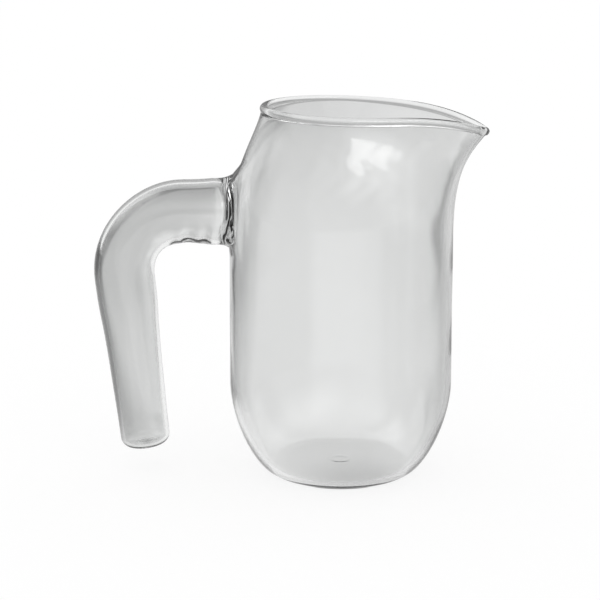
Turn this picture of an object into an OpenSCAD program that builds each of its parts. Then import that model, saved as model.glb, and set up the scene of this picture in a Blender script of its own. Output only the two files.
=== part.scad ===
// Lampworked glass pitcher: a blown vessel with a pulled spout and a hollow tube handle
// that is sealed at its free end and welded to the wall by one ring of glass.
// Origin: middle of the foot, on the table. +Z is up, the spout points along +X.

/* [Vessel] */
// Outer diameter of the body at the top of the heel
body_d = 105.5; // [96:0.5:114]
// How much narrower the body is where the shoulder starts
shoulder_taper = 0.8; // [0:0.1:4]
// Height at which the shoulder starts
shoulder_h = 116; // [105:1:122]
// Height at which the heel has run out into the wall
heel_h = 44; // [36:0.5:60]
// Diameter of the flat foot
foot_d = 63.6; // [54:0.2:72]
// Angle at which the heel rises from the foot
heel_rise = 1; // [0:0.5:10]
// Pull of the heel curve at the foot
heel_reach = 9.4; // [6:0.2:14]
// Pull of the heel curve at the wall
belly_reach = 18; // [12:0.5:24]
// Thickness of the wall
wall = 2.2; // [1.6:0.1:3]
// Thickness of the floor
floor_t = 3.2; // [2:0.1:5]
// Diameter of the seal mark in the middle of the floor
floor_mark_d = 12; // [6:0.5:20]
// Height of the seal mark above the floor
floor_mark_h = 0.6; // [0.2:0.1:1.2]

/* [Mouth and spout] */
// Length of the mouth along X, between bead centres, with no spout
mouth_l = 71.8; // [64:0.2:80]
// Width of the mouth along Y, between bead centres
mouth_w = 74; // [66:0.2:80]
// Height of the bead's centre at the handle side
rim_h = 173.6; // [165:0.2:185]
// Fall of the rim from the handle side to the front
rim_fall = 2.1; // [0:0.1:5]
// Diameter of the fire-polished bead
bead_d = 4; // [3.2:0.1:5]
// Step from the wall's surface in to the drawn neck's, on each side
neck_step = 0.15; // [0.1:0.05:0.3]
// Distance that the neck runs down into the wall
neck_lap = 1; // [0.5:0.1:2]
// Inward lean of the neck below the rim
neck_lean = 12.5; // [5:0.5:25]
// Pull of the shoulder curve above the wall
shoulder_reach = 28.5; // [15:0.5:32]
// Pull of the neck curve below the rim
neck_reach = 12; // [6:0.5:20]
// Reach of the spout: from the axis to the bead's centre at the tip
spout_reach = 66.5; // [58:0.5:74]
// Extra fall of the rim at the tip of the spout
spout_fall = 8.6; // [2:0.1:12]
// Half-angle over which the spout is pulled
spout_angle = 32.6; // [24:0.2:40]
// Sharpness of the pull: low values give a pointed spout
spout_shape = 1.47; // [1.2:0.01:2.4]
// Outward lean of the spout at its tip
spout_lean = 38.5; // [25:0.5:50]
// Pull of the spout curve below the tip
spout_pull = 8.4; // [4:0.2:14]

/* [Handle] */
// Outer diameter of the tube at the weld
handle_d = 30.8; // [24:0.2:34]
// Outer diameter of the tube in the bend
bend_d = 28.6; // [22:0.2:33]
// Outer diameter of the leg at its sealed end
handle_tip_d = 23.4; // [16:0.2:28]
// Thickness of the tube's wall at the weld and in the bend
handle_wall = 2; // [1.4:0.1:3]
// Step from the bend's surface in to the straight runs', on each side
run_step = 0.05; // [0.05:0.05:0.3]
// Distance that the straight runs go into the bend
run_lap = 1; // [0.5:0.1:1.5]
// Height of the tube's axis where it meets the vessel
handle_h = 125.2; // [112:0.2:130]
// Length of the straight stub from the weld to the bend
stub_l = 13; // [6:0.2:20]
// Radius of the bend, at the tube's axis
bend_r = 28.4; // [22:0.2:36]
// Lean of the leg towards the foot
handle_lean = 6; // [0:0.5:10]
// Height of the sealed end above the table
tip_h = 11.4; // [4:0.2:40]
// Rounding of the sealed end
tip_round = 5; // [2:0.5:7.5]
// Rounding of the bore at the sealed end
bore_round = 3; // [1:0.5:4.5]
// Thickness of the drop of glass at the middle of the sealed end
tip_seal = 1.2; // [0.4:0.1:2]

/* [Weld] */
// Distance that the weld runs out along the tube from the body
weld_l = 8.4; // [5:0.2:12]
// Radius of the weld's fillet
weld_fillet_r = 18; // [14:0.5:26]
// Diameter of the weld's foot on the vessel
weld_foot_d = 44; // [40:0.5:48]

/* [Hidden] */

full_turn = 360;
half_turn = full_turn / 2;
// Facets round the mouth, along the neck, round the bead and along the heel
around = 72;
neck_steps = 12;
bead_steps = 8;
heel_steps = 12;
mark_steps = 6;
corner_steps = 8;
$fn = around;

glass = [0.86, 0.88, 0.88, 0.45];
weld_glass = [0.78, 0.80, 0.80, 0.6];

body_r = body_d / 2;
shoulder_r = (body_d - shoulder_taper) / 2;
neck_r = shoulder_r - neck_step;
neck_wall = wall - 2 * neck_step;
foot_r = foot_d / 2;
bead_r = bead_d / 2;
handle_r = handle_d / 2;
handle_bore_r = handle_r - handle_wall;
bend_tube_r = bend_d / 2;
bend_bore_r = bend_tube_r - handle_wall;
run_r = bend_tube_r - run_step;
run_wall = handle_wall - 2 * run_step;
run_bore_r = run_r - run_wall;
tip_r = handle_tip_d / 2;
tip_bore_r = tip_r - run_wall;
weld_start = shoulder_r + weld_l;
bend_start = weld_start + stub_l;
// Angle round the bead at which it leaves the wall, counted from its underside
bead_from = asin(neck_wall / bead_d);

// A cubic Bezier curve through four control points
function bezier(p, t) =
    pow(1 - t, 3) * p[0] + 3 * pow(1 - t, 2) * t * p[1]
    + 3 * (1 - t) * t * t * p[2] + pow(t, 3) * p[3];
function bezier_way(p, t) =
    3 * (1 - t) * (1 - t) * (p[1] - p[0]) + 6 * (1 - t) * t * (p[2] - p[1])
    + 3 * t * t * (p[3] - p[2]);
function unit(v) = v / norm(v);
function mix(a, b, share) = a + (b - a) * share;
// The side of a curve that faces away from the glass, in the plane of radius and height
function outward(way) = [way[1], -way[0]];
// A point of a curve, moved in by a thickness
function inset_point(p, t, thickness) = bezier(p, t) - thickness * outward(unit(bezier_way(p, t)));
function arc(centre, r, from, to, steps) =
    [for (i = [0:steps]) let (a = mix(from, to, i / steps)) centre + r * [cos(a), sin(a)]];

// The heel, from the edge of the foot up to the wall
heel_curve = [
    [foot_r, 0],
    [foot_r, 0] + heel_reach * [cos(heel_rise), sin(heel_rise)],
    [body_r, heel_h - belly_reach],
    [body_r, heel_h]
];
heel_outside = [for (i = [0:heel_steps]) bezier(heel_curve, i / heel_steps)];
heel_inside = [for (i = [heel_steps:-1:0])
    let (t = i / heel_steps) inset_point(heel_curve, t, mix(floor_t, wall, t))];
// The seal mark: a low bell of glass in the middle of the floor
floor_mark = [for (i = [mark_steps:-1:0])
    let (share = i / mark_steps)
    [share * floor_mark_d / 2, floor_t + floor_mark_h * (1 + cos(half_turn * share)) / 2]];

// How much of the spout's pull there is at an angle from the spout, from 0 to 1
function from_spout(angle) = angle > half_turn ? full_turn - angle : angle;
function pull(angle) = exp(-pow(from_spout(angle) / spout_angle, spout_shape));
// The centre of the bead, as radius and height
function mouth_r(angle) = mix(mouth_l, mouth_w, pow(sin(angle), 2)) / 2;
function rim_r(angle) = mix(mouth_r(angle), spout_reach, pull(angle));
function rim_z(angle) =
    rim_h - rim_fall * (1 + cos(angle)) / 2 - spout_fall * pow(pull(angle), 2);
function rim_lean(angle) = mix(-neck_lean, spout_lean, pull(angle));
function rim_way(angle) = [sin(rim_lean(angle)), cos(rim_lean(angle))];
function bead_centre(angle) = [rim_r(angle), rim_z(angle)];

// The outside of the neck at an angle from the spout, from the shoulder up to the bead
function neck_curve(angle) =
    let (way = rim_way(angle),
         top = bead_centre(angle) - bead_r * cos(bead_from) * way + neck_wall / 2 * outward(way),
         reach = mix(neck_reach, spout_pull, pull(angle)))
    [[neck_r, shoulder_h], [neck_r, shoulder_h + shoulder_reach], top - reach * way / way[1], top];
// A point of the bead, from the outside of the wall over the top to its inside
function bead_point(angle, turn) =
    let (way = rim_way(angle))
    bead_centre(angle) + bead_r * (sin(turn) * outward(way) - cos(turn) * way);
function placed(p, angle) = [p[0] * cos(angle), p[0] * sin(angle), p[1]];

// One section of the neck's glass: up the outside, over the bead and down the inside
function neck_section(angle) =
    let (curve = neck_curve(angle))
    concat(
        [[neck_r, shoulder_h - neck_lap]],
        [for (i = [0:neck_steps]) bezier(curve, i / neck_steps)],
        [for (i = [1:bead_steps - 1])
            bead_point(angle, mix(bead_from, full_turn - bead_from, i / bead_steps))],
        [for (i = [neck_steps:-1:0]) inset_point(curve, i / neck_steps, neck_wall)],
        [[neck_r - neck_wall, shoulder_h - neck_lap]]
    );

// The shoulder, neck, spout and bead, lofted round the mouth through sections
module neck() {
    sections = [for (j = [0:around - 1]) neck_section(full_turn * j / around)];
    count = len(sections[0]);
    points = [for (j = [0:around - 1]) for (p = sections[j]) placed(p, full_turn * j / around)];
    faces = [for (j = [0:around - 1]) for (i = [0:count - 1])
        let (a = j * count, b = (j + 1) % around * count, k = (i + 1) % count)
        for (f = [[a + i, a + k, b + k], [a + i, b + k, b + i]]) f];
    polyhedron(points, faces);
}

// The floor, heel and wall below the shoulder
module bowl() {
    rotate_extrude()
        polygon(concat(
            [[0, 0]], heel_outside,
            [[shoulder_r, shoulder_h], [shoulder_r - wall, shoulder_h]],
            heel_inside, floor_mark
        ));
}

module vessel() {
    color(glass) union() {
        bowl();
        neck();
    }
}

// The outside of the vessel at the handle's side, as a solid
module vessel_outside() {
    curve = neck_curve(half_turn);
    rotate_extrude()
        polygon(concat(
            [[0, heel_h], [body_r, heel_h], [shoulder_r, shoulder_h]],
            [for (i = [0:neck_steps]) bezier(curve, i / neck_steps)],
            [[0, curve[3][1]]]
        ));
}

// Turns a shape that stands on Z so that it lies along the handle's axis, outwards from the vessel
module along_handle() {
    translate([0, 0, handle_h]) rotate([0, -90, 0]) children();
}

// The straight stub of the tube, drawn out from the weld to the bend
module stub() {
    along_handle() rotate_extrude()
        polygon([[handle_bore_r, weld_start], [handle_r, weld_start],
                 [run_r, bend_start], [run_r, bend_start + run_lap],
                 [run_bore_r, bend_start + run_lap], [run_bore_r, bend_start]]);
}

module bend() {
    translate([-bend_start, 0, handle_h - bend_r]) rotate([90, 0, 0]) rotate(90)
        rotate_extrude(angle = 90 + handle_lean)
            translate([bend_r, 0]) difference() {
                circle(bend_tube_r);
                circle(bend_bore_r);
            }
}

// Where the leg starts, and its length down to the sealed end
leg_top = [-bend_start - bend_r * cos(handle_lean), 0, handle_h - bend_r * (1 + sin(handle_lean))];
leg_l = (leg_top[2] - tip_h) / cos(handle_lean);

// Half of the leg's section, from its top down: outside, round the sealed end, and back up the bore
function leg_outside() = concat(
    [[run_r, run_lap], [run_r, 0]],
    arc([tip_r - tip_round, tip_round - leg_l], tip_round, 0, -90, corner_steps)
);
function leg_inside() = concat(
    [for (i = [0:mark_steps - 1]) let (share = i / mark_steps)
        [share * (tip_bore_r - bore_round),
         run_wall - leg_l + tip_seal * (1 + cos(half_turn * share)) / 2]],
    arc([tip_bore_r - bore_round, run_wall + bore_round - leg_l], bore_round, -90, 0, corner_steps),
    [[run_bore_r, 0], [run_bore_r, run_lap]]
);

module leg() {
    translate(leg_top) rotate([0, -handle_lean, 0]) rotate_extrude()
        polygon(concat(leg_outside(), [[0, -leg_l]], leg_inside()));
}

module handle_tube() {
    color(glass) union() {
        stub();
        bend();
        leg();
    }
}

// The ring of glass that joins the tube to the vessel, filleted on the outside
module weld_ring() {
    color(weld_glass) difference() {
        along_handle() rotate_extrude() difference() {
            translate([handle_bore_r, shoulder_r - weld_fillet_r])
                square([weld_foot_d / 2 - handle_bore_r, weld_l + weld_fillet_r]);
            translate([handle_r + weld_fillet_r, weld_start]) circle(weld_fillet_r);
        }
        vessel_outside();
    }
}

vessel();
handle_tube();
weld_ring();
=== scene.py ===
"""Studio scene of a lampworked glass pitcher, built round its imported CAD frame."""

import logging
import math
from dataclasses import dataclass
from enum import Enum

import bpy
import numpy as np
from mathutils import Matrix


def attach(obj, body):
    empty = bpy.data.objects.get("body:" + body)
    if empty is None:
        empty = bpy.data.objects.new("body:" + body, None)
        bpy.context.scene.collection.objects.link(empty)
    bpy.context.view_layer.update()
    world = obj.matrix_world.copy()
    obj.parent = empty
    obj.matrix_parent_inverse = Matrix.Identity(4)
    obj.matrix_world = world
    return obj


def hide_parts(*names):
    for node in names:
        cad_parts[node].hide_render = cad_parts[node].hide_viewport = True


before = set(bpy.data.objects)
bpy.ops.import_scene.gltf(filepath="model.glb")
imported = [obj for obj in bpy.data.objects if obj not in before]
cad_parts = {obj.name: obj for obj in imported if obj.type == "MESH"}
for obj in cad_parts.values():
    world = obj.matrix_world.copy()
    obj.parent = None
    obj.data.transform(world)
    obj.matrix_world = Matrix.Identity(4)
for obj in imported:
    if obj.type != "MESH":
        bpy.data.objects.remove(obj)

LOG = logging.getLogger("pitcher")
MM = 0.001
WHITE = (1.0, 1.0, 1.0, 1.0)

Array = np.ndarray
Socket = bpy.types.NodeSocket
Span = tuple[float, float]
WaveRow = tuple[int, float, float]


class Slot(Enum):
    """The record's material slots."""

    VESSEL = "vessel_glass"
    HANDLE = "handle_glass"
    WELD = "weld_glass"


class Face(Enum):
    """What a face of a glass piece is: a surface in air, or the inside of a weld."""

    GLASS = 0
    FUSED = 1


def mix(a: Array | float, b: Array | float, share: Array | float) -> Array | float:
    """Blends two values, from the first at a share of 0 to the second at a share of 1."""
    return a + (b - a) * share


def ramp(x: Array, start: float, end: float) -> Array:
    """Rises evenly from 0 at a start to 1 at an end, and stays there."""
    return np.clip((x - start) / (end - start), 0, 1)


def bell(x: Array, at: float, width: float) -> Array:
    """Stands at 1 in one place and falls away smoothly on both sides of it."""
    return np.exp(-(((x - at) / width) ** 2))


def turns(steps: int) -> Array:
    """Angles of even steps once round a circle, in radians."""
    return np.arange(steps) * math.tau / steps


def outward(way: Array) -> Array:
    """Turns a way up the glass into the way out of it."""
    return np.stack([way[..., 1], -way[..., 0]], axis=-1)


def rings(angle: Array, z: Array, row: WaveRow, phase: Array | float) -> Array:
    """Waves that run slanting round an axis.

    Args:
        angle: Angles round the axis.
        z: Heights.
        row: The waves in one turn, the height over which they turn once, and their size.
        phase: Where the waves start.

    Returns:
        How far the waves stand out.
    """
    count, length, size = row
    return size * np.sin(count * angle + math.tau * z / length + phase)


def bezier(points: Array, t: Array) -> tuple[Array, Array]:
    """Samples cubic Bezier curves in the plane of radius and height.

    Args:
        points: Control points, one row of four for each curve.
        t: Places along the curves, from 0 to 1.

    Returns:
        The points of each curve, and the unit ways along it.
    """
    u = 1 - t
    place = np.stack([u**3, 3 * u * u * t, 3 * u * t * t, t**3], axis=1)
    slope = np.stack([u * u, 2 * u * t, t * t], axis=1)
    way = np.einsum("mk,nkc->nmc", slope, np.diff(points, axis=1))
    way /= np.linalg.norm(way, axis=2, keepdims=True)
    return np.einsum("mk,nkc->nmc", place, points), way


def through(knots: tuple[Span, ...], x: Array) -> Array:
    """Reads a smooth curve that runs through given knots.

    Args:
        knots: Pairs of place and value, in order of place.
        x: Places to read.

    Returns:
        The values there.
    """
    xs, ys = np.array(knots, float).T
    slopes = np.gradient(ys, xs)
    i = np.clip(np.searchsorted(xs, x) - 1, 0, len(xs) - 2)
    gap = xs[i + 1] - xs[i]
    t = np.clip((x - xs[i]) / gap, 0, 1)
    return (
        (1 + 2 * t) * (1 - t) ** 2 * ys[i]
        + t * (1 - t) ** 2 * gap * slopes[i]
        + t * t * (3 - 2 * t) * ys[i + 1]
        + t * t * (t - 1) * gap * slopes[i + 1]
    )


class Graph:
    """Builds the nodes of a material or a world."""

    def __init__(self, tree: bpy.types.NodeTree) -> None:
        """Takes the node tree to build in."""
        self.tree = tree

    def node(self, kind: str, **inputs: object) -> bpy.types.Node:
        """Adds a node.

        Args:
            kind: The node's type.
            inputs: Values or sockets for its inputs, with underscores for spaces.

        Returns:
            The node.
        """
        made = self.tree.nodes.new(kind)
        for name, value in inputs.items():
            self.feed(made.inputs[name.replace("_", " ")], value)
        return made

    def feed(self, socket: Socket, value: object) -> None:
        """Links a socket to another one, or sets its value.

        Args:
            socket: The input to feed.
            value: The socket to link it to, or the value to set.
        """
        if isinstance(value, bpy.types.NodeSocket):
            self.tree.links.new(value, socket)
        else:
            socket.default_value = value

    def sum(self, operation: str, a: object, b: object) -> Socket:
        """Does arithmetic.

        Args:
            operation: The math node's operation.
            a: First value or socket.
            b: Second value or socket.

        Returns:
            The result.
        """
        made = self.tree.nodes.new("ShaderNodeMath")
        made.operation = operation
        self.feed(made.inputs[0], a)
        self.feed(made.inputs[1], b)
        return made.outputs["Value"]

    def plus(self, a: object, b: object) -> Socket:
        """Adds two values or sockets."""
        return self.sum("ADD", a, b)

    def times(self, a: object, b: object) -> Socket:
        """Multiplies two values or sockets."""
        return self.sum("MULTIPLY", a, b)

    def vector(self, operation: str, *values: object) -> bpy.types.Node:
        """Does arithmetic on vectors.

        Args:
            operation: The vector math node's operation.
            values: Vectors or sockets to work on.

        Returns:
            The node, which has the result.
        """
        made = self.tree.nodes.new("ShaderNodeVectorMath")
        made.operation = operation
        for socket, value in zip(made.inputs, values):
            self.feed(socket, value)
        return made

    def rise(self, value: object, span: Span, result: Span) -> Socket:
        """Runs smoothly from one result to another as a value crosses a span.

        Args:
            value: The value.
            span: Where the change starts and ends.
            result: Results before and after it.

        Returns:
            The result.
        """
        made = self.node(
            "ShaderNodeMapRange",
            Value=value,
            From_Min=span[0],
            From_Max=span[1],
            To_Min=result[0],
            To_Max=result[1],
        )
        made.interpolation_type = "SMOOTHSTEP"
        return made.outputs["Result"]

    def place(self, kind: str) -> tuple[Socket, dict[str, Socket]]:
        """Reads the place or the way that is shaded.

        Args:
            kind: The coordinates to read.

        Returns:
            The coordinates, and their parts by the axis's letter.
        """
        whole = self.node("ShaderNodeTexCoord").outputs[kind]
        parts = self.node("ShaderNodeSeparateXYZ", Vector=whole).outputs
        return whole, dict(parts.items())

    def towards(self, way: Socket, turn: float, rise: float = 0.0) -> Socket:
        """Measures how far a way runs in a given direction.

        Args:
            way: The way.
            turn: The direction's angle from the camera's side towards the spout's, in degrees.
            rise: The direction's angle above the horizon, in degrees.

        Returns:
            The part of the way that runs in the direction.
        """
        turn, rise = math.radians(turn), math.radians(rise)
        level = math.cos(rise)
        aim = (math.sin(turn) * level, -math.cos(turn) * level, math.sin(rise))
        return self.vector("DOT_PRODUCT", way, aim).outputs["Value"]

    def rays(self) -> tuple[Socket, Socket]:
        """Tells what a ray is for.

        Returns:
            Whether the camera looks straight at a place, and whether it looks through or at glass.
        """
        ray = self.node("ShaderNodeLightPath").outputs
        glass = self.sum("MAXIMUM", ray["Is Glossy Ray"], ray["Is Transmission Ray"])
        first = self.sum("LESS_THAN", ray["Diffuse Depth"], 0.5)
        return ray["Is Camera Ray"], self.times(glass, first)

    def blend(self, share: Socket, first: Socket, second: Socket) -> Socket:
        """Mixes two shaders.

        Args:
            share: How much of the second one shows.
            first: The first shader.
            second: The second shader.

        Returns:
            The mixed shader.
        """
        made = self.node("ShaderNodeMixShader", Fac=share)
        self.feed(made.inputs[1], first)
        self.feed(made.inputs[2], second)
        return made.outputs["Shader"]

    def show(self, shader: Socket, output: str = "Material Output") -> None:
        """Shows a shader on the surface, or in the sky."""
        self.feed(self.tree.nodes[output].inputs["Surface"], shader)

    def principled(self, **inputs: object) -> None:
        """Sets the inputs of the material's own shader, with underscores for spaces."""
        for name, value in inputs.items():
            self.feed(self.tree.nodes["Principled BSDF"].inputs[name.replace("_", " ")], value)


def new_material(name: str) -> tuple[bpy.types.Material, Graph]:
    """Starts a node material.

    Args:
        name: The material's name.

    Returns:
        The material, and the graph of its nodes.
    """
    material = bpy.data.materials.new(name)
    material.use_nodes = True
    return material, Graph(material.node_tree)


@dataclass(frozen=True)
class GlassFinish:
    """Clear borosilicate glass with the faint waves of hand work."""

    name: str
    tint_scale: float
    wave_scale: float
    wave_depth: float
    tint: tuple[float, float, float] = (0.858, 0.862, 0.86)
    tint_spread: float = 0.006
    tint_edge: float = 0.15
    ior: float = 1.47
    roughness: float = 0.0

    def material(self) -> bpy.types.Material:
        """Builds the node material.

        Returns:
            The material of this finish.
        """
        material, graph = new_material(self.name)
        place = graph.node("ShaderNodeTexCoord").outputs["Object"]
        cloud = graph.node("ShaderNodeTexNoise", Vector=place, Scale=self.tint_scale, Detail=2.0)
        colour = graph.node("ShaderNodeValToRGB", Fac=cloud.outputs["Fac"])
        for element, side in zip(colour.color_ramp.elements, (-1, 1)):
            element.color = (*(c + side * self.tint_spread for c in self.tint), 1.0)
            element.position = 0.5 + side * self.tint_edge
        wave = graph.node("ShaderNodeTexNoise", Vector=place, Scale=self.wave_scale, Detail=1.0)
        bump = graph.node("ShaderNodeBump", Strength=1.0, Distance=self.wave_depth)
        graph.feed(bump.inputs["Height"], wave.outputs["Fac"])
        graph.principled(
            Base_Color=colour.outputs["Color"],
            Normal=bump.outputs["Normal"],
            Transmission_Weight=1.0,
            IOR=self.ior,
            Roughness=self.roughness,
        )
        return material


@dataclass(frozen=True)
class FusedFinish:
    """The inside of a weld, where glass runs into glass and nothing is seen."""

    name: str = "fused_glass"

    def material(self) -> bpy.types.Material:
        """Builds the node material.

        Returns:
            The material of this finish.
        """
        material, graph = new_material(self.name)
        place = graph.node("ShaderNodeTexCoord").outputs["Object"]
        cloud = graph.node("ShaderNodeTexNoise", Vector=place)
        graph.principled(
            Base_Color=cloud.outputs["Color"], Alpha=0.0, Transmission_Weight=1.0, Roughness=0.0
        )
        return material


class SpunPiece:
    """A piece of glass that is spun from a half section and then drawn into shape."""

    BATCH = 4096
    MERGE = 1e-7
    DISSOLVE = 1e-8

    def __init__(self, name: str, section: Array, steps: int) -> None:
        """Spins a closed half section once round Z.

        Args:
            name: Name of the piece.
            section: Radius and height of each point, in order, in millimetres.
            steps: Number of steps round the axis.
        """
        bpy.ops.object.select_all(action="DESELECT")
        bpy.ops.mesh.primitive_circle_add(vertices=len(section), radius=1.0)
        self.object = bpy.context.object
        self.object.name = self.object.data.name = name
        flat = np.zeros((len(section), 3))
        flat[:, 0], flat[:, 2] = section[:, 0], section[:, 1]
        self.object.data.vertices.foreach_set("co", (flat * MM).ravel())
        bpy.ops.object.mode_set(mode="EDIT")
        bpy.ops.mesh.select_all(action="SELECT")
        bpy.ops.mesh.spin(
            steps=steps, angle=math.tau, center=(0, 0, 0), axis=(0, 0, 1), use_auto_merge=True
        )
        bpy.ops.mesh.select_all(action="SELECT")
        bpy.ops.mesh.remove_doubles(threshold=self.MERGE)
        bpy.ops.mesh.dissolve_degenerate(threshold=self.DISSOLVE)
        bpy.ops.mesh.delete_loose()
        bpy.ops.object.mode_set(mode="OBJECT")
        self.steps = steps
        self.stations = len(section)
        self.turn, self.station = self._places(section)

    def _places(self, section: Array) -> tuple[Array, Array]:
        """Finds the step and the section point that each vertex came from.

        Args:
            section: The half section.

        Returns:
            The step of each vertex, and its point of the section.
        """
        co = self.coordinates() / MM
        flat = np.stack([np.hypot(co[:, 0], co[:, 1]), co[:, 2]], axis=1)
        turn = np.rint(np.arctan2(co[:, 1], co[:, 0]) / math.tau * self.steps).astype(int)
        station = np.empty(len(co), int)
        for start in range(0, len(co), self.BATCH):
            batch = slice(start, start + self.BATCH)
            part = flat[batch, None, :] - section[None]
            station[batch] = np.argmin((part**2).sum(axis=2), axis=1)
        return turn % self.steps, station

    def coordinates(self) -> Array:
        """Reads the piece's vertices.

        Returns:
            Their places in metres.
        """
        co = np.empty(len(self.object.data.vertices) * 3)
        self.object.data.vertices.foreach_get("co", co)
        return co.reshape(-1, 3)

    def draw(self, shape: Array) -> None:
        """Draws the spun glass into its final shape.

        Args:
            shape: Place of each vertex by step and section point, in millimetres.
        """
        places = shape[self.turn, self.station] * MM
        self.object.data.vertices.foreach_set("co", places.ravel())
        self.object.data.update()
        bpy.ops.object.mode_set(mode="EDIT")
        bpy.ops.mesh.select_all(action="SELECT")
        bpy.ops.mesh.normals_make_consistent(inside=False)
        bpy.ops.object.mode_set(mode="OBJECT")

    def dress(
        self, glass: bpy.types.Material, fused: bpy.types.Material, welds: set[int]
    ) -> None:
        """Gives the piece its glass, and its welds the fused finish.

        Args:
            glass: Material of the surfaces in air.
            fused: Material of the insides of welds.
            welds: Section points after which the section runs inside a weld.
        """
        mesh = self.object.data
        mesh.materials.append(glass)
        mesh.materials.append(fused)
        last = self.stations - 1
        for face in mesh.polygons:
            used = sorted({int(self.station[v]) for v in face.vertices})
            first = last if used == [0, last] else used[0]
            face.material_index = (Face.FUSED if first in welds else Face.GLASS).value

    def smooth(self, degrees: float) -> None:
        """Shades the piece smooth.

        Args:
            degrees: Angle past which an edge stays sharp.
        """
        bpy.ops.object.select_all(action="DESELECT")
        self.object.select_set(True)
        bpy.context.view_layer.objects.active = self.object
        bpy.ops.object.shade_smooth_by_angle(angle=math.radians(degrees))


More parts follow.
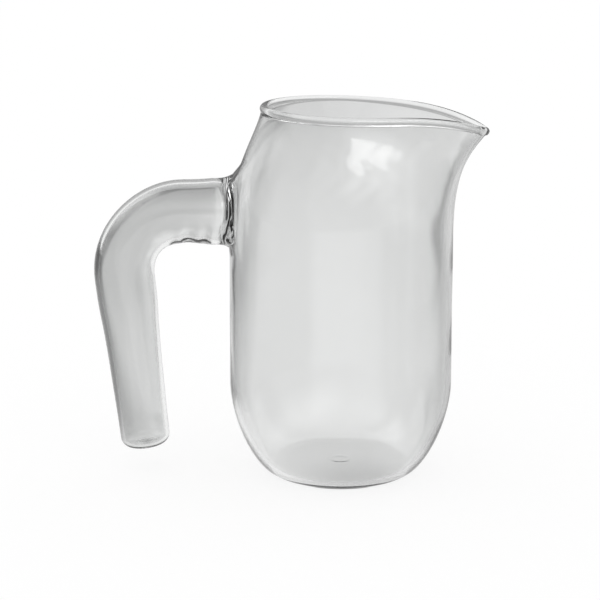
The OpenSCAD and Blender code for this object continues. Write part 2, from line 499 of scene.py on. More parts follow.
@dataclass
class Vessel:
    """The blown vessel: floor, heel, wall, neck, pulled spout and bead. Sizes in millimetres."""

    # Body, heel and floor
    body_r: float = 52.67
    shoulder_r: float = 52.3
    shoulder_h: float = 116.0
    heel_h: float = 44.0
    foot_r: float = 31.8
    heel_rise: float = 1.0
    heel_reach: float = 9.4
    belly_reach: float = 18.0
    wall: float = 2.2
    floor_t: float = 3.2
    mark_r: float = 6.0
    mark_h: float = 0.12
    mark_shape: float = 1.9
    # Mouth, bead and neck
    mouth_l: float = 71.8
    mouth_w: float = 74.0
    rim_h: float = 173.6
    rim_fall: float = 2.1
    bead_r: float = 1.95
    bead_blend: float = 0.35
    bead_ease: float = 0.36
    bead_lift: float = 0.3
    neck_lean: float = 12.5
    shoulder_reach: float = 28.5
    neck_reach: float = 12.0
    neck_thin: float = 0.9
    neck_thin_turn: float = 0.9
    neck_thin_shape: float = 0.7
    neck_crowding: float = 1.25
    # Spout
    spout_reach: float = 66.45
    spout_fall: float = 8.6
    spout_angle: float = 32.6
    spout_shape: float = 1.47
    spout_lean: float = 38.5
    spout_pull: float = 8.4
    # Waves of blowing, and finer marks of shaping the neck
    waver: float = 0.045
    wave_rows: tuple[WaveRow, ...] = (
        *((2, 95.0, 0.8), (3, -61.0, 0.7), (5, 43.0, 0.5), (7, -37.0, 0.4), (11, 29.0, 0.22)),
    )
    wave_above: Span = (4.0, 34.0)
    wave_below: Span = (14.0, 28.0)
    wave_phases: Span = (0.0, 1.3)
    ripple: float = 0.012
    ripple_rows: tuple[WaveRow, ...] = ((19, 31.0, 1.0), (31, -14.0, 0.7))
    ripple_drift: WaveRow = (3, 23.0, 1.4)
    ripple_above: Span = (128.0, 148.0)
    ripple_below: Span = (8.0, 16.0)
    ripple_at: float = 4.82
    ripple_width: float = 0.3
    ripple_near: float = 0.09
    # Wall behind the handle, which the weld holds out
    pad_r: float = 53.2
    pad_h: float = 125.2
    pad_flat: float = 0.6
    pad_turn: float = 0.6
    pad_depth: float = 12.0
    pad_top: Span = (11.0, 23.0)
    pad_foot: Span = (9.0, 20.0)
    pad_side: Span = (10.0, 25.0)
    # Points of the section
    steps: int = 240
    crowding: float = 0.5
    flat_points: int = 8
    heel_points: int = 30
    wall_points: int = 14
    mark_points: int = 25
    neck_points: int = 44
    bead_points: int = 6
    cap_points: int = 15
    search_points: int = 200
    sharp: float = 35.0

    def angles(self) -> Array:
        """Angles of the sections from the spout in radians, closer together at the spout."""
        turn = turns(self.steps)
        return turn - self.crowding * np.sin(turn)

    def heel(self) -> Array:
        """Bends the heel's outside.

        Returns:
            Control points of its curve, as radius and height.
        """
        rise = math.radians(self.heel_rise)
        foot = np.array([self.foot_r, 0])
        belly = np.array([self.body_r, self.heel_h])
        along = self.heel_reach * np.array([math.cos(rise), math.sin(rise)])
        return np.array([[foot, foot + along, belly - np.array([0, self.belly_reach]), belly]])

    def lower_outside(self) -> Array:
        """Runs the outside from the middle of the foot up to the shoulder.

        Returns:
            Radius and height of each point.
        """
        foot = np.linspace(0, self.foot_r, self.flat_points)[:-1]
        place, _ = bezier(self.heel(), np.linspace(0, 1, self.heel_points))
        rise = np.linspace(0, 1, self.wall_points)[1:-1, None]
        wall = mix(place[0, -1], np.array([self.shoulder_r, self.shoulder_h]), rise)
        return np.concatenate([np.stack([foot, 0 * foot], axis=1), place[0], wall])

    def lower_inside(self) -> Array:
        """Runs the inside from the shoulder down to the middle of the floor.

        Returns:
            Radius and height of each point.
        """
        t = np.linspace(1, 0, self.heel_points)
        place, way = bezier(self.heel(), t)
        heel = place[0] - mix(self.floor_t, self.wall, t)[:, None] * outward(way[0])
        rise = np.linspace(1, 0, self.wall_points)[1:-1, None]
        wall = mix(heel[0], np.array([self.shoulder_r - self.wall, self.shoulder_h]), rise)
        floor = np.linspace(1, 0, self.flat_points)[1:-1, None]
        flat = mix(np.array([self.mark_r, self.floor_t]), heel[-1], floor)
        share = np.linspace(1, 0, self.mark_points)
        height = self.floor_t + self.mark_h * np.sin(math.pi * share**self.mark_shape) ** 2
        mark = np.stack([self.mark_r * share, height], axis=1)
        return np.concatenate([wall, heel, flat, mark])

    def bead(self, angle: Array) -> Array:
        """Radius of the bead, which is slighter at the back."""
        return self.bead_r * (1 - self.bead_ease * np.maximum(np.sin(angle), 0) ** 2)

    def neck_outside(self, angle: Array, t: Array) -> tuple[Array, Array, Array, Array]:
        """Runs the outside of the neck without its bead.

        Args:
            angle: Angles of the sections from the spout.
            t: Places from the shoulder to the bead.

        Returns:
            The outside and the ways along it, the bead's centre, and the way up into the bead.
        """
        degrees = np.degrees(np.abs((angle + math.pi) % math.tau - math.pi))
        pull = np.exp(-((degrees / self.spout_angle) ** self.spout_shape))
        mouth = mix(self.mouth_l, self.mouth_w, np.sin(angle) ** 2) / 2
        rim_z = self.rim_h - self.rim_fall * (1 + np.cos(angle)) / 2 - self.spout_fall * pull**2
        rim_z += (self.bead_r - self.bead(angle)) * (1 + self.bead_lift)
        rim = np.stack([mix(mouth, self.spout_reach, pull), rim_z], axis=1)
        lean = np.radians(mix(-self.neck_lean, self.spout_lean, pull))
        way = np.stack([np.sin(lean), np.cos(lean)], axis=1)
        neck_end = np.sqrt(self.bead(angle) ** 2 - (self.wall / 2) ** 2)
        top = rim - neck_end[:, None] * way + self.wall / 2 * outward(way)
        reach = mix(self.neck_reach, self.spout_pull, pull)[:, None]
        foot = np.tile([self.shoulder_r, self.shoulder_h], (len(angle), 1))
        bow = foot + np.array([0, self.shoulder_reach])
        points = np.stack([foot, bow, top - reach * way / way[:, 1:], top], axis=1)
        place, ways = bezier(points, t)
        return place, ways, rim, way

    def neck(self, angle: Array) -> Array:
        """Runs the neck up the outside, over the bead and down the inside.

        Args:
            angle: Angles of the sections from the spout.

        Returns:
            Radius and height of each point, by angle.
        """
        t = 1 - (1 - np.linspace(0, 1, self.neck_points)) ** self.neck_crowding
        place, ways, rim, way = self.neck_outside(angle, t)
        middle = place - self.wall / 2 * outward(ways)
        climb = np.linspace(0, 1, self.bead_points + 1)[1:, None]
        last = mix(middle[:, -1:, :], rim[:, None, :], climb)
        middle = np.concatenate([middle, last], axis=1)
        last_side = np.repeat(outward(way)[:, None], self.bead_points, axis=1)
        side = np.concatenate([outward(ways), last_side], axis=1)
        gap = np.linalg.norm(middle - rim[:, None], axis=2)
        ball = self.bead(angle)[:, None]
        sphere = np.sqrt(np.maximum(ball**2 - gap**2, 0))
        bead = np.where(gap < ball, sphere, 2 * (ball - gap))
        half = self.wall / 2
        width = (half + bead + np.sqrt((half - bead) ** 2 + self.bead_blend**2)) / 2
        over = np.radians(np.linspace(90, -90, self.cap_points)[1:-1])
        cap = (
            rim[:, None]
            + width[:, -1:, None] * np.sin(over)[None, :, None] * outward(way)[:, None]
            + ball[..., None] * np.cos(over)[None, :, None] * way[:, None]
        )
        outside = middle + width[..., None] * side
        inside = middle - width[..., None] * side
        back = bell(angle % math.tau, math.pi, self.neck_thin_turn)
        thin = self.neck_thin * np.sin(math.pi * t) ** self.neck_thin_shape
        thin = np.concatenate([thin, np.zeros(self.bead_points)])
        inside += (back[:, None] * thin[None])[..., None] * side
        return np.concatenate([outside, cap, inside[:, ::-1]], axis=1)

    def waves(self, angle: Array, z: Array, phase: float) -> Array:
        """Faint waves that blowing leaves in a surface.

        Args:
            angle: Angles from the spout.
            z: Heights.
            phase: Where the waves start.

        Returns:
            How far the surface stands out.
        """
        total = np.zeros_like(z)
        for row in self.wave_rows:
            total += rings(angle, z, row, phase * row[0])
        fade = ramp(z, *self.wave_above) * ramp(self.rim_h - z, *self.wave_below)
        return self.waver * total * fade

    def ripples(self, angle: Array, z: Array) -> Array:
        """Marks that shaping the neck leaves in its outside.

        Args:
            angle: Angles from the spout.
            z: Heights.

        Returns:
            How far the surface stands out.
        """
        drift = rings(angle, z, self.ripple_drift, 0.0)
        total = sum(rings(angle, z, row, drift) for row in self.ripple_rows)
        fade = ramp(z, *self.ripple_above) * ramp(self.rim_h - z, *self.ripple_below)
        near = bell(angle % math.tau, self.ripple_at, self.ripple_width)
        return (self.ripple + self.ripple_near * near) * total * fade

    def pad(self, angle: Array, z: Array) -> Array:
        """How far the wall stays out behind the handle, where the weld holds it.

        Args:
            angle: Angles from the spout.
            z: Heights.

        Returns:
            Shares, from 0 away from the handle to 1 behind it.
        """
        across = ramp(self.pad_r * np.abs(angle % math.tau - math.pi), *self.pad_side)
        above = ramp(z - self.pad_h, *self.pad_top)
        below = ramp(self.pad_h - z, *self.pad_foot)
        return np.prod([1 - s * s * (3 - 2 * s) for s in (across, above, below)], axis=0)

    def pad_radius(self, angle: Array) -> Array:
        """Radius of the wall behind the handle, which the weld pulls nearly flat."""
        side = np.clip(np.abs(angle % math.tau - math.pi), 0, self.pad_turn)
        return self.pad_r * mix(1, 1 / np.cos(side), self.pad_flat)

    def sections(self) -> Array:
        """Runs the whole section round the vessel.

        Returns:
            Radius and height of each point, by angle.
        """
        angle = self.angles()
        count = len(angle)
        low = np.repeat(self.lower_outside()[None], count, axis=0)
        high = self.neck(angle)
        inside = np.repeat(self.lower_inside()[None], count, axis=0)
        split = low.shape[1] + high.shape[1] // 2
        section = np.concatenate([low, high, inside], axis=1)
        grid = np.repeat(angle[:, None], section.shape[1], axis=1)
        outer = np.arange(section.shape[1]) < split
        held = self.pad_radius(grid) - np.where(outer, 0, self.wall) - section[..., 0]
        held *= np.abs(held) < self.pad_depth
        section[..., 0] += np.maximum(held, 0) * self.pad(grid, section[..., 1])
        out_phase, in_phase = self.wave_phases
        section[:, :split, 0] += self.waves(grid[:, :split], section[:, :split, 1], out_phase)
        section[:, :split, 0] += self.ripples(grid[:, :split], section[:, :split, 1])
        section[:, split:, 0] += self.waves(grid[:, split:], section[:, split:, 1], in_phase)
        return section

    def outer_radius(self, y: Array, z: Array) -> Array:
        """Radius of the outside on the handle's side.

        Args:
            y: Distances from the plane of the handle.
            z: Heights.

        Returns:
            The radii.
        """
        low = self.lower_outside()[self.flat_points - 1 :]
        t = np.linspace(0, 1, self.search_points)
        high, _, _, _ = self.neck_outside(np.array([math.pi]), t)
        section = np.concatenate([low, high[0]])
        free = np.interp(z, section[:, 1], section[:, 0])
        angle = math.pi - np.arcsin(y / free)
        return free + np.maximum(self.pad_radius(angle) - free, 0) * self.pad(angle, z)

    def build(self) -> SpunPiece:
        """Spins the vessel and pulls its spout.

        Returns:
            The vessel.
        """
        angle = self.angles()
        sections = self.sections()
        neck = self.neck(np.array([math.pi]))[0]
        spun = np.concatenate([self.lower_outside(), neck, self.lower_inside()])
        piece = SpunPiece("vessel_glass_body", spun, self.steps)
        r, z = sections[..., 0], sections[..., 1]
        piece.draw(np.stack([r * np.cos(angle)[:, None], r * np.sin(angle)[:, None], z], axis=2))
        return piece

    def recess(self, piece: SpunPiece, cutter: bpy.types.Object) -> None:
        """Sinks the weld's foot into the wall.

        Args:
            piece: The vessel.
            cutter: Shape of the weld's foot, which is used up.
        """
        bpy.ops.object.select_all(action="DESELECT")
        bpy.context.view_layer.objects.active = piece.object
        piece.object.select_set(True)
        bpy.ops.object.modifier_add(type="BOOLEAN")
        cut = piece.object.modifiers[-1]
        cut.operation, cut.solver, cut.object = "DIFFERENCE", "EXACT", cutter
        bpy.ops.object.modifier_apply(modifier=cut.name)
        bpy.data.objects.remove(cutter)


@dataclass
class Handle:
    """The hollow tube of the handle, from the weld to its sealed tip. Sizes in millimetres."""

    start: float = 60.6
    axis_h: float = 125.2
    stub_l: float = 13.0
    bend_r: float = 28.4
    lean: float = 6.0
    tip_h: float = 11.4
    tip_round: float = 5.0
    bore_round: float = 3.0
    seal: float = 1.4
    wall: float = 2.0
    tip_wall: float = 1.8
    # Fold under the bend, and lumps in the bore by it: distance, length and share of the depth
    crease_at: float = 10.5
    crease_l: float = 3.6
    crease_turn: float = 0.5
    crease_out: float = 0.5
    crease_in: float = 1.9
    crease_start: float = 2.5
    crease_lumps: tuple[tuple[float, float, float], ...] = ((-7.5, 2.6, 0.6), (10.0, 5.5, 0.22))
    # Outer radius by place along the tube
    radii: tuple[Span, ...] = (
        *((0.0, 15.55), (4.0, 15.2), (9.0, 15.0), (16.0, 14.9), (34.0, 14.08)),
        *((56.0, 14.15), (76.0, 13.8), (83.0, 13.3), (91.0, 12.9), (99.0, 12.6)),
        *((107.0, 12.4), (115.0, 12.2), (131.0, 11.8), (146.0, 11.7)),
    )
    # Points of the section
    steps: int = 96
    outside_points: int = 150
    corner_points: int = 12
    flat_points: int = 6
    seal_points: int = 12
    round_points: int = 10
    bore_points: int = 140
    sharp: float = 50.0

    @property
    def sweep(self) -> float:
        """Angle of the bend, in radians."""
        return math.radians(90 + self.lean)

    @property
    def length(self) -> float:
        """Length of the tube along its axis."""
        drop = self.axis_h - self.bend_r * (1 - math.cos(self.sweep)) - self.tip_h
        return self.stub_l + self.bend_r * self.sweep + drop / math.sin(self.sweep)

    @property
    def end_r(self) -> float:
        """Radius of the outside at the weld."""
        return self.radii[0][1]

    def section(self) -> Array:
        """Runs the half section of the straight tube, out to the tip and back in the bore.

        Returns:
            Radius and place along the tube of each point.
        """
        end = self.length
        flat_end = end - self.tip_round
        s = np.linspace(0, flat_end, self.outside_points)
        outside = np.stack([through(self.radii, s), s], axis=1)
        tip_r = outside[-1, 0] - self.tip_round
        turn = np.radians(np.linspace(0, 90, self.corner_points)[1:])
        tip = flat_end + self.tip_round * np.sin(turn)
        round_out = [tip_r + self.tip_round * np.cos(turn), tip]
        across = np.linspace(tip_r, 0, self.flat_points)[1:]
        flat = [across, np.full_like(across, end)]
        floor = end - self.tip_wall
        bore_flat = outside[-1, 0] - self.tip_wall - self.bore_round
        share = np.linspace(0, 1, self.seal_points)
        seal = [share * bore_flat, floor - self.seal * (1 + np.cos(math.pi * share)) / 2]
        back = np.radians(np.linspace(90, 0, self.round_points)[1:])
        bore_end = floor - self.bore_round * (1 - np.sin(back))
        round_in = [bore_flat + self.bore_round * np.cos(back), bore_end]
        up = np.linspace(bore_end[-1], 0, self.bore_points)[1:]
        walls = mix(self.wall, self.tip_wall, up / end)
        bore = [through(self.radii, up) - walls, up]
        inner = [np.stack(part, axis=1) for part in (round_out, flat, seal, round_in, bore)]
        return np.concatenate([outside, *inner])

    def axis(self, s: Array) -> tuple[Array, Array]:
        """Bends the axis of the tube.

        Args:
            s: Places along the tube.

        Returns:
            Points of the axis, and ways from it to the outside of the bend, as X and Z.
        """
        angle = np.clip((s - self.stub_l) / self.bend_r, 0, self.sweep)
        before = np.minimum(s, self.stub_l)
        after = np.maximum(s - self.stub_l - self.bend_r * self.sweep, 0)
        side = np.stack([-np.sin(angle), np.cos(angle)], axis=-1)
        way = np.stack([-np.cos(angle), -np.sin(angle)], axis=-1)
        centre = np.array([-self.start, self.axis_h - self.bend_r])
        place = centre + self.bend_r * side + after[..., None] * way
        place[..., 0] -= before
        return place, side

    def crease(self, turn: Array, section: Array) -> Array:
        """Glass pushed together on the inside of the bend, where the tube was bent.

        Args:
            turn: Angles round the tube, from the outside of the bend.
            section: Half section of the straight tube.

        Returns:
            How far each surface is pushed towards the axis.
        """
        s = section[None, :, 1]
        inner = np.arange(len(section))[None] > len(section) // 2
        depth = np.where(inner, self.crease_in, self.crease_out)
        fold = bell(s, self.crease_at, self.crease_l)
        for off, length, share in self.crease_lumps:
            fold = fold + inner * share * bell(s, self.crease_at + off, length)
        around = bell(turn, math.pi, self.crease_turn)
        return depth * around * fold * ramp(s, 0, self.crease_start)

    def build(self) -> SpunPiece:
        """Spins the tube straight and bends it.

        Returns:
            The handle.
        """
        section = self.section()
        piece = SpunPiece("handle_glass_tube", section, self.steps)
        place, side = self.axis(section[:, 1])
        turn = turns(self.steps)[:, None]
        radius = section[None, :, 0] - self.crease(turn, section)
        up = radius * np.cos(turn)
        shape = np.empty((self.steps, len(section), 3))
        shape[..., 0] = place[None, :, 0] + up * side[None, :, 0]
        shape[..., 1] = radius * np.sin(turn)
        shape[..., 2] = place[None, :, 1] + up * side[None, :, 1]
        piece.draw(shape)
        return piece


@dataclass
class Weld:
    """The ring of glass that joins the tube to the vessel. Sizes in millimetres."""

    vessel: Vessel
    handle: Handle
    foot_low: float = 17.2
    foot_side: float = 16.4
    foot_top: float = 17.4
    # Lumps of the foot: number round it, start and size of each row
    lumps: tuple[WaveRow, ...] = ((3, 0.6, 0.12), (5, 2.0, 0.08))
    bulge: float = 4.0
    bulge_at: float = 4.22
    bulge_width: float = 0.33
    foot_power: float = 4.0
    inner_foot: float = 0.5
    lip_power: int = 3
    sink: float = 0.3
    # Points of the section, and the length that it is spun at
    steps: int = 128
    flare_points: int = 18
    under_points: int = 5
    lip_points: int = 12
    spun_l: float = 10.0
    sharp: float = 50.0

    @property
    def bore_r(self) -> float:
        """Radius of the tube's bore at the weld."""
        return self.handle.end_r - self.handle.wall

    def foot_radius(self, turn: Array) -> Array:
        """Runs the edge of the foot round the tube's axis.

        Args:
            turn: Angles round the tube's axis, from the top.

        Returns:
            Radii of the edge.
        """
        up = np.cos(turn)
        end = np.where(up > 0, self.foot_top, self.foot_low)
        radius = mix(self.foot_side, end, up**2)
        for count, phase, size in self.lumps:
            radius += size * np.sin(count * turn + phase)
        return radius + self.bulge * bell(turn, self.bulge_at, self.bulge_width)

    def on_wall(self, radius: Array, off: Array, turn: Array) -> Array:
        """Places near the vessel's wall.

        Args:
            radius: Distances from the tube's axis.
            off: Distances out from the wall along X.
            turn: Angles round the tube's axis, from the top.

        Returns:
            The places.
        """
        y = radius * np.sin(turn)
        z = self.handle.axis_h + radius * np.cos(turn)
        wall = np.sqrt(self.vessel.outer_radius(y, z) ** 2 - y**2)
        return np.stack([-wall - off, y, z], axis=-1)

    def ring(self, turn: Array) -> tuple[Array, Array]:
        """Runs the section of the ring round the tube's axis.

        Args:
            turn: Angles round the tube's axis.

        Returns:
            Radii, and shares of the way from the wall to the tube's end; shares below 0 are sunk.
        """
        outer, bore = self.handle.end_r, self.bore_r
        u = np.linspace(1, 0, self.flare_points)[None]
        v = np.linspace(0, 1, self.lip_points)[None]
        foot = self.foot_radius(turn)[:, None]
        flare = outer + (foot - outer) * (1 - u) ** self.foot_power
        under = mix(foot, bore - self.inner_foot, np.linspace(0, 1, self.under_points)[None])
        lip = bore - self.inner_foot * (1 - v) ** self.lip_power + 0 * foot
        radius = np.concatenate([flare, under, lip], axis=1)
        share = np.concatenate([u + 0 * foot, -1 + 0 * under, v + 0 * foot], axis=1)
        return radius, share

    def build(self) -> SpunPiece:
        """Spins the ring and fits it to the wall.

        Returns:
            The weld.
        """
        turn = turns(self.steps)
        radius, share = self.ring(turn)
        spun = np.stack([radius[0], self.spun_l * share[0]], axis=1)
        piece = SpunPiece("weld_glass_ring", spun, self.steps)
        at = turn[:, None] + 0 * radius
        reach = self.handle.start + self.on_wall(radius, 0 * radius, at)[..., 0]
        piece.draw(self.on_wall(radius, np.where(share < 0, -self.sink, share * reach), at))
        return piece

    def inner_welds(self) -> set[int]:
        """Section points after which the section runs inside a weld, at the wall or the tube."""
        wall = range(self.flare_points - 1, self.flare_points + self.under_points)
        return {*wall, self.flare_points + self.under_points + self.lip_points - 1}

    def cutter(self) -> bpy.types.Object:
        """Shapes the foot for the recess in the wall.

        Returns:
            The foot, run out of the wall.
        """
        turn = turns(self.steps)
        foot = self.foot_radius(turn)[:, None]
        bore = self.bore_r - self.inner_foot
        under = mix(foot, bore, np.linspace(0, 1, self.under_points)[None])
        radius = np.concatenate([foot, under, bore + 0 * foot], axis=1)
        out = self.sink + 0 * foot
        off = np.concatenate([out, -self.sink + 0 * under, out], axis=1)
        piece = SpunPiece("weld_cutter", np.stack([radius[0], off[0]], axis=1), self.steps)
        piece.draw(self.on_wall(radius, off, turn[:, None] + 0 * radius))
        for face in piece.object.data.polygons:
            face.material_index = Face.FUSED.value
        return piece.object


@dataclass(frozen=True)
class FloorPatch:
    """A patch of the floor that the glass shows lighter or darker: painted light where its level is
    over 1, painted shade where it is under 1.

    It sets in over a span of X and a span of Y, in metres, and runs on from there.
    """

    x: Span
    y: Span
    level: float


@dataclass
class Floor:
    """The pale floor, white to the camera and shaded to the glass. Sizes in metres."""

    size: float = 24.0
    drop: float = 0.0002
    colour: tuple[float, float, float] = (0.95, 0.95, 0.95)
    # Share of its own glow to the camera, and to the glass from the foot outwards
    glow: float = 0.87
    glass_glow: Span = (0.55, 0.95)
    foot_shade: Span = (0.008, 0.058)
    foot_shade_at: Span = (0.012, -0.042)
    # Painted shade on the floor that only the glass shows: on the handle's side, on the spout's
    # side, and past a bowed edge there that stands in for the curl of a paper backdrop
    left_turn: float = -68.3
    left_edge: Span = (0.042, 0.118)
    left_dim: float = 0.34
    left_behind: Span = (0.03, 0.09)
    right_turn: float = 81.3
    right_edge: Span = (0.032, 0.067)
    right_dim: float = 0.635
    bowed_shade_bow: float = 2.05
    bowed_shade_from: float = 0.05
    bowed_shade_edge: Span = (0.359, 0.369)
    bowed_shade_dim: float = 0.4
    bowed_shade_behind: Span = (0.1, 0.2)
    # Where the floor behind the pitcher starts, and the share of the dimming before it
    behind_from: float = -0.03
    before_share: float = 0.32
    # Patches of painted light and painted shade in the floor's glow, seen only in the glass
    patches: tuple[FloorPatch, ...] = (
        FloorPatch((-0.05, -0.12), (0.2, 0.4), 0.87),
        FloorPatch((-0.05, -0.115), (0.02, 0.09), 0.79),
        FloorPatch((-0.22, -0.28), (0.24, 0.32), 0.55),
        FloorPatch((0.18, 0.3), (0.3, 0.4), 1.22),
        FloorPatch((0.02, 0.08), (0.5, 0.68), 1.1),
    )
    # Fall of the light to the back, a spot of shade, and a fan of light in front
    far_edge: Span = (0.25, 1.35)
    far_light: float = 0.75
    horizon_edge: Span = (1.4, 6.0)
    horizon_light: float = 0.72
    shade_at: Span = (-0.08, 0.083)
    shade_size: Span = (0.004, 0.02)
    shade: float = 0.88
    fan: float = 1.23
    fan_at: float = 4.0
    fan_edge: Span = (0.66, 0.92)
    fan_start: Span = (0.06, 0.11)
    # Painted contact shadow: a thin dark line that the camera sees on the floor where the foot
    # touches it
    contact_shadow_edge: Span = (0.0321, 0.0333)
    contact_shadow_wide: Span = (0.008, 0.014)
    contact_shadow: float = 0.05

    def seen_in_glass(self, graph: Graph, place: Socket, at: dict[str, Socket]) -> Socket:
        """Lights the floor as the glass shows it, with dim sides.

        Args:
            graph: The graph to add to.
            place: Place on the floor.
            at: Parts of the place.

        Returns:
            The light of the floor there.
        """
        behind = graph.sum("SUBTRACT", at["Y"], self.behind_from)
        # Painted shade past a line that bows back like the curl of a paper backdrop, and painted
        # shade on the handle's side.
        back = graph.sum("MAXIMUM", graph.sum("SUBTRACT", at["Y"], self.bowed_shade_from), 0.0)
        bow = graph.times(graph.times(back, back), self.bowed_shade_bow)
        left = graph.towards(place, self.left_turn)
        bowed_shade_reach = graph.sum("SUBTRACT", at["X"], bow)
        sides = []
        for reach, edge, dim, start in (
            (left, self.left_edge, self.left_dim, self.left_behind),
            (bowed_shade_reach, self.bowed_shade_edge, self.bowed_shade_dim, self.bowed_shade_behind),
        ):
            shade = graph.rise(reach, edge, (0.0, dim - 1))
            share = graph.rise(behind, start, (self.before_share, 1.0))
            sides.append(graph.plus(graph.times(shade, share), 1.0))
        right = graph.towards(place, self.right_turn)
        right = graph.rise(right, self.right_edge, (1.0, self.right_dim))
        lit = graph.times(sides[1], graph.sum("MINIMUM", sides[0], right))
        for patch in self.patches:
            across = graph.rise(at["X"], patch.x, (0.0, 1.0))
            along = graph.rise(at["Y"], patch.y, (0.0, patch.level - 1))
            lit = graph.times(lit, graph.plus(graph.times(across, along), 1.0))
        for edge, level in (
            (self.far_edge, self.far_light),
            (self.horizon_edge, self.horizon_light),
        ):
            lit = graph.times(lit, graph.rise(at["Y"], edge, (1.0, level)))
        gap = graph.vector("DISTANCE", place, (*self.shade_at, 0.0)).outputs["Value"]
        lit = graph.times(lit, graph.rise(gap, self.shade_size, (self.shade, 1.0)))
        way = graph.vector("NORMALIZE", place).outputs["Vector"]
        fan = graph.rise(graph.towards(way, self.fan_at), self.fan_edge, (0.0, self.fan))
        ahead = graph.rise(graph.towards(place, 0), self.fan_start, (0.0, 1.0))
        return graph.sum("MAXIMUM", lit, graph.times(fan, ahead))

    def build(self) -> None:
        """Lays the floor, with a painted contact shadow, a thin dark line, under the foot."""
        bpy.ops.object.select_all(action="DESELECT")
        bpy.ops.mesh.primitive_plane_add(size=self.size, location=(0, 0, -self.drop))
        floor = bpy.context.object
        floor.name = "studio_floor"
        material, graph = new_material("studio_floor")
        camera, glass = graph.rays()
        place, at = graph.place("Object")
        in_glass = graph.times(self.seen_in_glass(graph, place, at), glass)
        # Painted contact shadow: the camera's glow drops to a thin dark line just outside the foot
        # and fades out to the sides.
        reach = graph.vector("LENGTH", place).outputs["Value"]
        under = graph.rise(reach, self.contact_shadow_edge, (self.contact_shadow, 1.0))
        wide = tuple(w * w for w in self.contact_shadow_wide)
        beside = graph.rise(graph.times(at["X"], at["X"]), wide, (0.0, 1.0))
        plainly = graph.times(graph.sum("MAXIMUM", under, beside), camera)
        glow = graph.node("ShaderNodeEmission", Strength=graph.plus(in_glass, plainly))
        paint = graph.node("ShaderNodeBsdfDiffuse", Color=(*self.colour, 1.0))
        off = graph.vector("DISTANCE", place, (*self.foot_shade_at, 0.0)).outputs["Value"]
        near = graph.rise(off, self.foot_shade, self.glass_glow)
        share = graph.plus(graph.times(camera, self.glow), graph.times(glass, near))
        graph.show(graph.blend(share, paint.outputs["BSDF"], glow.outputs["Emission"]))
        floor.data.materials.append(material)


@dataclass
class Sky:
    """The light all round: plain white for the camera and the floor, shaded for the glass."""

    light: float = 1.06
    dim: float = 0.36
    # Wall behind the pitcher, darker in its middle and even higher up
    back_edge: Span = (0.24, 0.4)
    back: float = 0.69
    middle_edge: Span = (0.75, 0.93)
    middle: float = 0.12
    high_edge: Span = (0.38, 0.55)
    high: float = 0.71
    # Light from the camera's side, and from the spout's side, which fades overhead
    front_edge: Span = (0.02, 0.3)
    front: float = 0.41
    front_rise: Span = (0.18, 0.5)
    front_high: float = 0.43
    side_at: float = 65.0
    side_edge: Span = (0.2, 0.7)
    side: float = 1.1
    fade: Span = (0.55, 0.85)
    fade_to: float = 0.3
    # Small light above the handle: its angle and its height in degrees
    glint: float = 2.0
    glint_at: Span = (-101.0, 44.0)
    glint_edge: Span = (0.88, 0.985)

    def seen_in_glass(self, graph: Graph) -> Socket:
        """Lights the sky as the glass shows it.

        Args:
            graph: The graph to add to.

        Returns:
            The light of the sky in each direction.
        """
        way, at = graph.place("Generated")
        low = graph.rise(at["Y"], self.middle_edge, (self.back, self.middle))
        high = graph.rise(at["Z"], self.high_edge, (0.0, 1.0))
        wall = graph.node("ShaderNodeMix", Factor=high, A=low, B=self.high).outputs["Result"]
        back = graph.times(graph.rise(at["Y"], self.back_edge, (0.0, 1.0)), wall)
        climb = graph.rise(at["Z"], self.front_rise, (0.0, 1.0))
        facing = graph.rise(graph.towards(way, 0), self.front_edge, (0.0, 1.0))
        front = graph.times(facing, graph.times(climb, self.front_high))
        side = graph.rise(graph.towards(way, self.side_at), self.side_edge, (0.0, self.side))
        ahead = graph.plus(graph.times(side, climb), front)
        ahead = graph.times(ahead, graph.rise(at["Z"], self.fade, (1.0, self.fade_to)))
        spot = graph.towards(way, *self.glint_at)
        glint = graph.rise(spot, self.glint_edge, (0.0, self.glint))
        around = graph.plus(back, self.dim)
        for light in (graph.times(facing, self.front), ahead, glint):
            around = graph.plus(around, light)
        return around

    def build(self) -> None:
        """Lights the studio."""
        world = bpy.data.worlds.new("studio")
        bpy.context.scene.world = world
        world.use_nodes = True
        graph = Graph(world.node_tree)
        _, glass = graph.rays()
        plain = graph.node("ShaderNodeBackground", Color=WHITE, Strength=self.light)
        shaded = graph.node("ShaderNodeBackground", Color=WHITE, Strength=self.seen_in_glass(graph))
        sky = graph.blend(glass, plain.outputs["Background"], shaded.outputs["Background"])
        graph.show(sky, "World Output")


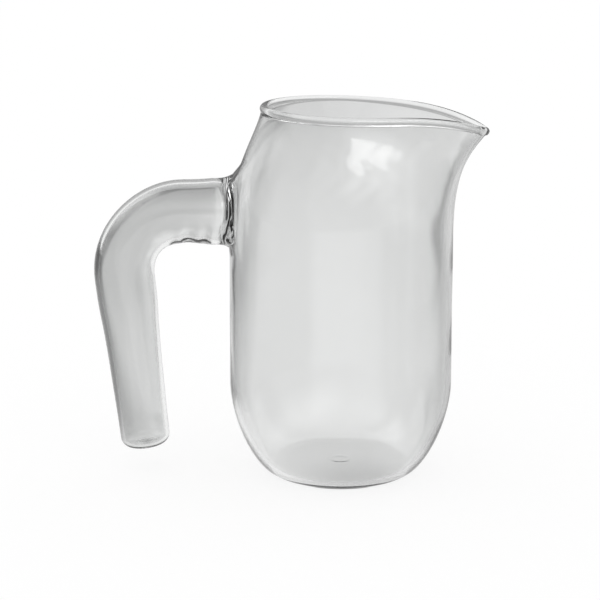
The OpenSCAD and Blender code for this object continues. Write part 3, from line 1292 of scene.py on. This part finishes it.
@dataclass
class Softbox:
    """A soft light panel before the spout's side, which only the glass shows. Sizes in metres."""

    light: float = 2.65
    # Walls of glass on the way to it: the wall nearest to the eye mirrors it, others don't
    passes: float = 2.5
    turn: float = 41.0
    away: float = 0.36
    shift: float = 0.12
    height: float = 0.389
    roll: float = 14.0
    size: Span = (0.7, 0.2)
    # Soft edges, as shares of the size from the middle
    left: Span = (-0.5, -0.46)
    right: Span = (-0.1, 0.4)
    low: Span = (-0.5, -0.44)
    top: Span = (0.1, 0.5)

    def build(self) -> None:
        """Hangs the panel."""
        turn = math.radians(self.turn)
        out = np.array([math.sin(turn), -math.cos(turn)]) * self.away
        centre = out + np.array([math.cos(turn), math.sin(turn)]) * self.shift
        bpy.ops.object.select_all(action="DESELECT")
        bpy.ops.mesh.primitive_plane_add(
            size=1,
            location=(*centre, self.height),
            rotation=(math.radians(90), math.radians(self.roll), turn),
        )
        panel = bpy.context.object
        panel.name = "studio_panel"
        panel.scale = (*self.size, 1)
        material, graph = new_material("studio_panel")
        material.cycles.emission_sampling = "NONE"
        _, glass = graph.rays()
        _, at = graph.place("Object")
        passes = graph.node("ShaderNodeLightPath").outputs["Transmission Depth"]
        level = graph.times(glass, graph.sum("LESS_THAN", passes, self.passes))
        for side, edge, ends in (
            ("X", self.left, (0.0, 1.0)),
            ("X", self.right, (1.0, 0.0)),
            ("Y", self.low, (0.0, 1.0)),
            ("Y", self.top, (1.0, 0.0)),
        ):
            level = graph.times(level, graph.rise(at[side], edge, ends))
        clear = graph.node("ShaderNodeBsdfTransparent")
        glow = graph.node("ShaderNodeEmission", Strength=graph.times(level, self.light))
        both = graph.node("ShaderNodeAddShader")
        graph.feed(both.inputs[0], clear.outputs["BSDF"])
        graph.feed(both.inputs[1], glow.outputs["Emission"])
        graph.show(both.outputs["Shader"])
        panel.data.materials.append(material)


@dataclass
class Camera:
    """The camera at the photograph's angle. Place in metres, pitch in degrees."""

    at: tuple[float, float, float] = (-0.0193, -0.8650, 0.2931)
    pitch: float = 13.68
    lens: float = 113.04
    sensor: float = 36.0

    def build(self) -> None:
        """Sets the camera up."""
        tilt = math.radians(90 - self.pitch)
        bpy.ops.object.camera_add(location=self.at, rotation=(tilt, 0, 0))
        camera = bpy.context.object
        camera.data.sensor_width = self.sensor
        camera.data.lens = self.lens
        bpy.context.scene.camera = camera
        bpy.context.scene.view_settings.view_transform = "Standard"


def place_piece(piece: SpunPiece, node: str) -> None:
    """Ties a finished piece to the CAD frame.

    Args:
        piece: The piece.
        node: The CAD node that it stands for.
    """
    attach(piece.object, "root")
    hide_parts(node)
    LOG.info("%s: %d faces", piece.object.name, len(piece.object.data.polygons))


def main() -> None:
    """Builds the pitcher and its studio."""
    logging.basicConfig(level=logging.INFO, format="%(message)s")
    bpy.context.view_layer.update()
    fused = FusedFinish().material()
    vessel_glass = GlassFinish("vessel_glass", 18.0, 38.0, 0.00002).material()
    handle_glass = GlassFinish("handle_glass", 24.0, 60.0, 0.00001).material()
    weld_glass = GlassFinish("weld_glass", 60.0, 150.0, 0.00006, tint_spread=0.008).material()

    vessel, handle = Vessel(), Handle()
    weld = Weld(vessel, handle)
    body = vessel.build()
    body.dress(vessel_glass, fused, set())
    vessel.recess(body, weld.cutter())
    body.smooth(vessel.sharp)
    place_piece(body, "vessel")

    tube = handle.build()
    tube.dress(handle_glass, fused, {tube.stations - 1})
    tube.smooth(handle.sharp)
    place_piece(tube, "handle_tube")

    ring = weld.build()
    ring.dress(weld_glass, fused, weld.inner_welds())
    ring.smooth(weld.sharp)
    place_piece(ring, "weld_ring")

    for stage in (Floor(), Sky(), Softbox(), Camera()):
        stage.build()
        LOG.info("studio: %s", type(stage).__name__)


if __name__ == "__main__":
    main()
